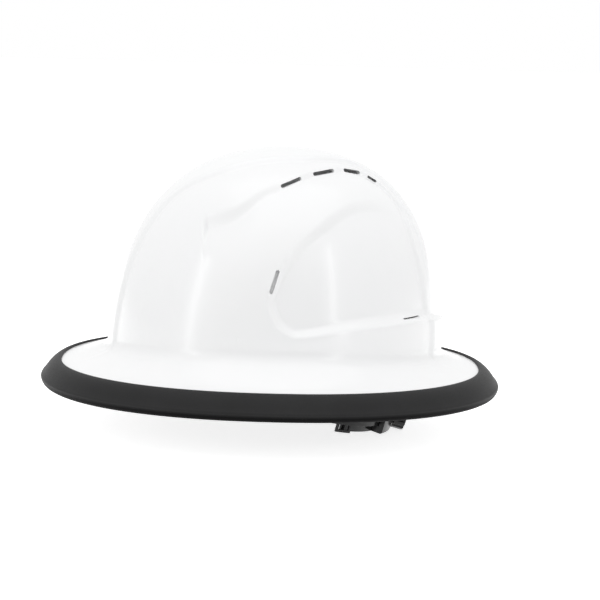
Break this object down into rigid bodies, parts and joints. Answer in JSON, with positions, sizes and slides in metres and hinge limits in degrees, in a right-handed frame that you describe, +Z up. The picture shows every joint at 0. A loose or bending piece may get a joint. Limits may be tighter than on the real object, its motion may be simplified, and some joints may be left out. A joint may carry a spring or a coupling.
{
  "type": "full brim hard hat",
  "caption": "Full brim hard hat with a rubber edge trim, crown vents, ear slots and a webbing suspension tightened by a ratchet knob on a swinging nape strap.",
  "frame": {"origin": "the centre of the part's box seen from above, at the level of the ratchet knob's lowest point with the nape strap hanging as worn", "axes": "+Z up, -Y the front of the hat, +X the wearer's left, +Y along the brim's longer direction towards the nape"},
  "size_m": [0.287, 0.33, 0.2033],
  "materials": {
    "shell": "glossy white, smooth moulded",
    "edge_trim": "satin black rubber, a slightly lighter upper face",
    "keys": "fine-grained black",
    "webbing": "flat woven black polyester, stitched",
    "headband": "satin black",
    "pads": "black knitted cover over foam",
    "nape_strap": "glossy black",
    "knob": "semi-gloss black",
    "pinion": "plain moulded nylon",
    "screws": "zinc plated",
    "detent_spring": "plain moulded nylon"
  },
  "bodies": {
    "hat": {"shell": "shell", "edge_trim": "edge_trim", "front_left_key": "keys", "front_right_key": "keys", "side_left_key": "keys", "side_right_key": "keys", "rear_left_key": "keys", "rear_right_key": "keys", "left_diagonal_strap": "webbing", "right_diagonal_strap": "webbing", "side_strap": "webbing", "headband": "headband", "brow_pad": "pads", "left_stud": "keys", "right_stud": "keys"},
    "nape_unit": {"ratchet_housing": "nape_strap", "housing_back_plate": "headband", "case_screws": "screws", "detent_spring": "detent_spring", "nape_pad": "pads"},
    "knob": {"knob": "knob", "drive_pinion": "pinion", "knob_screw": "screws"},
    "left_arm": {"left_arm": "nape_strap"},
    "right_arm": {"right_arm": "nape_strap"}
  },
  "joints": [
    {"name": "nape_swing", "type": "hinge", "parent": "hat", "child": "nape_unit", "pos_m": [0, 0.006, 0.03899], "axis": [1, 0, 0], "range_deg": [-8, 50]},
    {"name": "knob_turn", "type": "hinge", "parent": "nape_unit", "child": "knob", "pos_m": [0, 0.006, 0.03899], "axis": [0, 0.9703, -0.2419], "range_deg": [-168, 168]},
    {"name": "left_arm_slide", "type": "hinge", "parent": "nape_unit", "child": "left_arm", "pos_m": [0, 0.006, 0.03899], "axis": [0, 0.2419, 0.9703], "range_deg": [-11.3, 11.3]},
    {"name": "right_arm_slide", "type": "hinge", "parent": "nape_unit", "child": "right_arm", "pos_m": [0, 0.006, 0.03899], "axis": [0, 0.2419, 0.9703], "range_deg": [-11.3, 11.3]}
  ],
  "couplings": [
    {"joint": "left_arm_slide", "follows": "knob_turn", "ratio": -0.065476},
    {"joint": "right_arm_slide", "follows": "knob_turn", "ratio": 0.067155}
  ]
}
